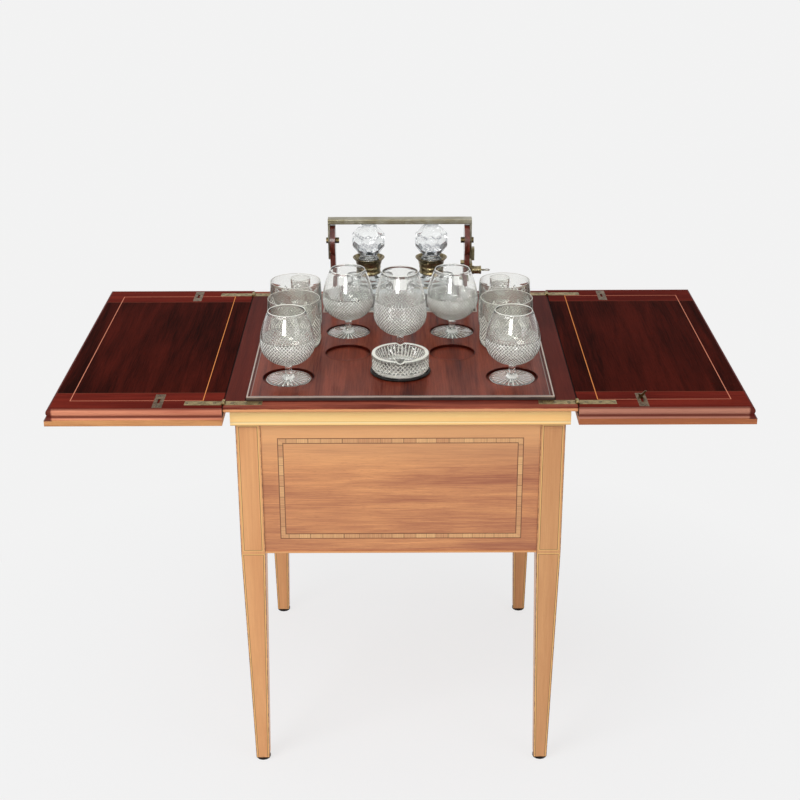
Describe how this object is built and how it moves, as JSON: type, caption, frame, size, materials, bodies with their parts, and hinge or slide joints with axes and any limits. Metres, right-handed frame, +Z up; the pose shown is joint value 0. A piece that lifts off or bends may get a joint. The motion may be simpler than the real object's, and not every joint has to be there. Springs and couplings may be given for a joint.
{
  "type": "tantalus drinks table",
  "caption": "Inlaid drinks table with two hinged top leaves, a rising tray of cut glasses and a locking two-bottle tantalus.",
  "frame": {"origin": "centre of the floor rectangle under the table", "axes": "+X to the right along the opened leaves, +Y to the back, +Z up"},
  "size_m": [1.1254, 0.6, 0.852],
  "materials": {
    "satinwood": "polished satinwood",
    "panel_wood": "polished faded mahogany",
    "mahogany": "french-polished red mahogany",
    "tray_mahogany": "french-polished red mahogany",
    "carcase_wood": "plain",
    "hinge_brass": "aged",
    "edging_metal": "worn plate",
    "bail_plate": "worn nickel plate",
    "collar_metal": "worn plate",
    "lock_brass": "aged",
    "lift_steel": "oiled",
    "decanter_glass": "cut and polished",
    "cut_glass": "cut and polished",
    "ashtray_plate": "tarnished plate",
    "glide_metal": "dark"
  },
  "bodies": {
    "carcase": {"front_left_leg": "satinwood", "front_right_leg": "satinwood", "back_left_leg": "satinwood", "back_right_leg": "satinwood", "front_panel": "panel_wood", "back_panel": "panel_wood", "left_panel": "panel_wood", "right_panel": "panel_wood", "panel_beads": "satinwood", "top_rails": "mahogany", "cornice_strips": "satinwood", "box_floor": "carcase_wood", "foot_glides": "glide_metal", "frame_hinge_plates": "hinge_brass", "hinge_pins": "hinge_brass", "lift_base_fittings": "lift_steel", "lift_springs": "lift_steel"},
    "tray": {"tray_board": "tray_mahogany", "tray_base": "tray_mahogany", "tray_rim": "edging_metal", "well_boards": "tray_mahogany", "lift_top_fittings": "lift_steel", "tantalus_plinth": "tray_mahogany", "tantalus_uprights": "tray_mahogany", "left_decanter": "decanter_glass", "right_decanter": "decanter_glass", "decanter_collars": "collar_metal", "stoppers": "decanter_glass", "pivot_bolts": "lock_brass", "tantalus_lock": "lock_brass"},
    "bail": {"bail_bar": "bail_plate", "bail_straps": "bail_plate"},
    "key": {"lock_key": "lock_brass"},
    "floor_arms": {"floor_lift_arms": "lift_steel", "floor_arm_rods": "lift_steel"},
    "tray_arms": {"tray_lift_arms": "lift_steel", "tray_arm_rods": "lift_steel"},
    "ashtray": {"ashtray_bowl": "cut_glass", "ashtray_base": "ashtray_plate"},
    "left_leaf": {"left_leaf_boards": "mahogany", "left_leaf_moulding": "mahogany", "left_leaf_facing": "satinwood", "left_leaf_straps": "hinge_brass", "left_leaf_catches": "hinge_brass"},
    "right_leaf": {"right_leaf_boards": "mahogany", "right_leaf_moulding": "mahogany", "right_leaf_facing": "satinwood", "right_leaf_straps": "hinge_brass", "right_leaf_catches": "hinge_brass"},
    "tall_balloon": {"tall_balloon": "cut_glass"},
    "front_left_balloon": {"front_left_balloon": "cut_glass"},
    "middle_left_balloon": {"middle_left_balloon": "cut_glass"},
    "front_left_tumbler": {"front_left_tumbler": "cut_glass"},
    "back_left_tumbler": {"back_left_tumbler": "cut_glass"},
    "back_left_liqueur": {"back_left_liqueur_glass": "cut_glass"},
    "front_right_balloon": {"front_right_balloon": "cut_glass"},
    "middle_right_balloon": {"middle_right_balloon": "cut_glass"},
    "front_right_tumbler": {"front_right_tumbler": "cut_glass"},
    "back_right_tumbler": {"back_right_tumbler": "cut_glass"},
    "back_right_liqueur": {"back_right_liqueur_glass": "cut_glass"}
  },
  "joints": [
    {"name": "left_leaf_hinge", "type": "hinge", "parent": "carcase", "child": "left_leaf", "pos_m": [-0.2815, 0, 0.68315], "axis": [0, -1, 0], "range_deg": [-180, 0]},
    {"name": "right_leaf_hinge", "type": "hinge", "parent": "carcase", "child": "right_leaf", "pos_m": [0.2815, 0, 0.68315], "axis": [0, 1, 0], "range_deg": [-180, 0]},
    {"name": "tray_lift", "type": "slide", "parent": "carcase", "child": "tray", "axis": [0, 0, 1], "range_m": [-0.174, 0]},
    {"name": "floor_arm_pivot", "type": "hinge", "parent": "carcase", "child": "floor_arms", "pos_m": [-0.2, 0, 0.43567], "axis": [0, -1, 0], "range_deg": [-27.05, 0]},
    {"name": "tray_arm_pivot", "type": "hinge", "parent": "tray", "child": "tray_arms", "pos_m": [-0.2, 0, 0.66533], "axis": [0, 1, 0], "range_deg": [-27.05, 0]},
    {"name": "bail_swing", "type": "hinge", "parent": "tray", "child": "bail", "pos_m": [0, 0.2067, 0.81], "axis": [-1, 0, 0], "range_deg": [0, 100]},
    {"name": "key_turn", "type": "hinge", "parent": "tray", "child": "key", "pos_m": [0.15, 0.2067, 0.752], "axis": [1, 0, 0], "range_deg": [0, 90]},
    {"name": "ashtray_lift_out", "type": "slide", "parent": "tray", "child": "ashtray", "axis": [0, 0, 1], "range_m": [0, 0.02]},
    {"name": "tall_balloon_lift_out", "type": "slide", "parent": "tray", "child": "tall_balloon", "axis": [0, 0, 1], "range_m": [0, 0.1]},
    {"name": "front_left_balloon_lift_out", "type": "slide", "parent": "tray", "child": "front_left_balloon", "axis": [0, 0, 1], "range_m": [0, 0.1]},
    {"name": "middle_left_balloon_lift_out", "type": "slide", "parent": "tray", "child": "middle_left_balloon", "axis": [0, 0, 1], "range_m": [0, 0.1]},
    {"name": "front_left_tumbler_lift_out", "type": "slide", "parent": "tray", "child": "front_left_tumbler", "axis": [0, 0, 1], "range_m": [0, 0.1]},
    {"name": "back_left_tumbler_lift_out", "type": "slide", "parent": "tray", "child": "back_left_tumbler", "axis": [0, 0, 1], "range_m": [0, 0.1]},
    {"name": "back_left_liqueur_lift_out", "type": "slide", "parent": "tray", "child": "back_left_liqueur", "axis": [0, 0, 1], "range_m": [0, 0.1]},
    {"name": "front_right_balloon_lift_out", "type": "slide", "parent": "tray", "child": "front_right_balloon", "axis": [0, 0, 1], "range_m": [0, 0.1]},
    {"name": "middle_right_balloon_lift_out", "type": "slide", "parent": "tray", "child": "middle_right_balloon", "axis": [0, 0, 1], "range_m": [0, 0.1]},
    {"name": "front_right_tumbler_lift_out", "type": "slide", "parent": "tray", "child": "front_right_tumbler", "axis": [0, 0, 1], "range_m": [0, 0.1]},
    {"name": "back_right_tumbler_lift_out", "type": "slide", "parent": "tray", "child": "back_right_tumbler", "axis": [0, 0, 1], "range_m": [0, 0.1]},
    {"name": "back_right_liqueur_lift_out", "type": "slide", "parent": "tray", "child": "back_right_liqueur", "axis": [0, 0, 1], "range_m": [0, 0.1]}
  ],
  "couplings": [
    {"joint": "right_leaf_hinge", "follows": "left_leaf_hinge", "ratio": 1},
    {"joint": "tray_lift", "follows": "left_leaf_hinge", "m_per_rad": 0.055385},
    {"joint": "floor_arm_pivot", "follows": "left_leaf_hinge", "ratio": 0.15023},
    {"joint": "tray_arm_pivot", "follows": "left_leaf_hinge", "ratio": 0.15023}
  ]
}
